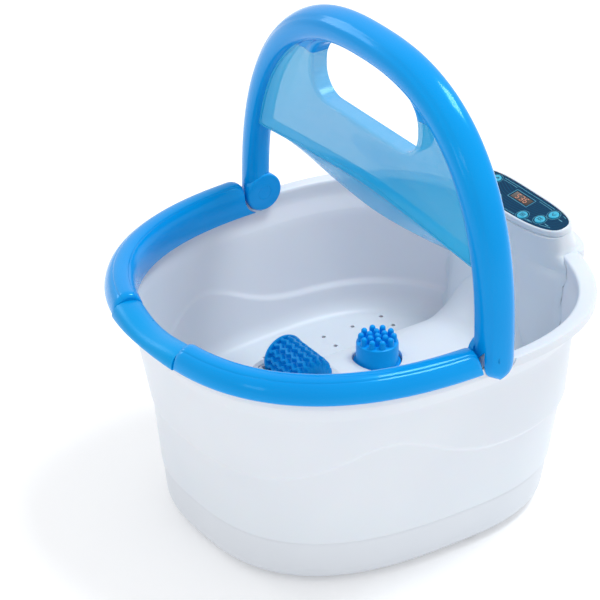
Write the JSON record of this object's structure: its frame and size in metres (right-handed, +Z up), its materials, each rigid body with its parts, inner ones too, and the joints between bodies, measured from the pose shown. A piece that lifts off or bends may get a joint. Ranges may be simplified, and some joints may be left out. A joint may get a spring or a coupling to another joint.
{
  "type": "foot spa basin",
  "caption": "Deep foot bath with a rim trim, massage roller and pin head, tilted control tower, and a carry handle with splash guard that folds back.",
  "frame": {"origin": "on the floor, under the middle of the bounding box with the handle upright", "axes": "+Z up, +X to the user's right hand, -Y towards the user, +Y towards the control tower"},
  "size_m": [0.3982, 0.4478, 0.4691],
  "materials": {
    "white": "satin white moulded plastic",
    "tray": "satin white moulded plastic",
    "blue": "glossy sky blue plastic",
    "blue_grip": "satin sky blue plastic",
    "guard": "translucent light blue plastic",
    "soft_blue": "satin blue moulded plastic",
    "panel": "printed membrane, dark teal",
    "lens": "smoked window",
    "key": "cyan key caps",
    "rubber": "matt rubber",
    "steel": "plated steel",
    "brass": "sintered weight",
    "board": "circuit board",
    "dark": "black moulded plastic",
    "nylon": "natural nylon",
    "hose": "clear silicone tube"
  },
  "bodies": {
    "basin": {"tub": "white", "base_tray": "tray", "cord_gland": "rubber", "rim_trim_left": "blue", "rim_trim_right": "blue", "rim_saddle": "blue_grip", "control_cap": "white", "control_fascia": "panel", "display_lens": "lens", "display_module": "dark", "control_board": "board", "roller_cradle": "white", "roller_axle": "steel", "head_gasket": "rubber", "vibration_motor": "steel", "motor_bracket": "dark", "air_pump": "dark", "air_hose_left": "hose", "air_hose_right": "hose", "main_board": "board", "heater_plate": "steel", "thermistor": "nylon", "foot_1": "rubber", "foot_2": "rubber", "foot_3": "rubber", "foot_4": "rubber", "base_screw_1": "steel", "base_screw_2": "steel", "base_screw_3": "steel", "base_screw_4": "steel", "base_screw_5": "steel", "base_screw_6": "steel", "hinge_bush_left": "nylon", "air_manifold_left": "nylon", "hinge_bush_right": "nylon", "air_manifold_right": "nylon"},
    "handle": {"handle_arch": "blue", "splash_guard": "guard", "hinge_pin_left": "blue", "hinge_pin_right": "blue"},
    "roller": {"roller_drum": "soft_blue"},
    "head": {"massage_head": "soft_blue"},
    "weight": {"eccentric_weight": "brass"},
    "key_1": {"button_1": "key"},
    "key_2": {"button_2": "key"},
    "key_3": {"button_3": "key"},
    "key_4": {"button_4": "key"},
    "key_5": {"button_5": "key"},
    "key_6": {"button_6": "key"}
  },
  "joints": [
    {"name": "handle_fold", "type": "hinge", "parent": "basin", "child": "handle", "pos_m": [0, 0.01645, 0.23], "axis": [-1, 0, 0], "range_deg": [0, 90]},
    {"name": "roller_spin", "type": "hinge", "parent": "basin", "child": "roller", "pos_m": [0, -0.06055, 0.149], "axis": [1, 0, 0], "continuous": true},
    {"name": "head_lift", "type": "slide", "parent": "basin", "child": "head", "axis": [0, 0, 1], "range_m": [0, 0.03]},
    {"name": "weight_spin", "type": "hinge", "parent": "basin", "child": "weight", "pos_m": [0, 0.07845, 0.1], "axis": [1, 0, 0], "continuous": true},
    {"name": "key_press_1", "type": "slide", "parent": "basin", "child": "key_1", "axis": [0, 0.2079, -0.9781], "range_m": [0, 0.0008], "stiffness_N_per_m": 900, "springref_m": -0.0003},
    {"name": "key_press_2", "type": "slide", "parent": "basin", "child": "key_2", "axis": [0, 0.2079, -0.9781], "range_m": [0, 0.0008], "stiffness_N_per_m": 900, "springref_m": -0.0003},
    {"name": "key_press_3", "type": "slide", "parent": "basin", "child": "key_3", "axis": [0, 0.2079, -0.9781], "range_m": [0, 0.0008], "stiffness_N_per_m": 900, "springref_m": -0.0003},
    {"name": "key_press_4", "type": "slide", "parent": "basin", "child": "key_4", "axis": [0, 0.2079, -0.9781], "range_m": [0, 0.0008], "stiffness_N_per_m": 900, "springref_m": -0.0003},
    {"name": "key_press_5", "type": "slide", "parent": "basin", "child": "key_5", "axis": [0, 0.2079, -0.9781], "range_m": [0, 0.0008], "stiffness_N_per_m": 900, "springref_m": -0.0003},
    {"name": "key_press_6", "type": "slide", "parent": "basin", "child": "key_6", "axis": [0, 0.2079, -0.9781], "range_m": [0, 0.0008], "stiffness_N_per_m": 900, "springref_m": -0.0003}
  ]
}
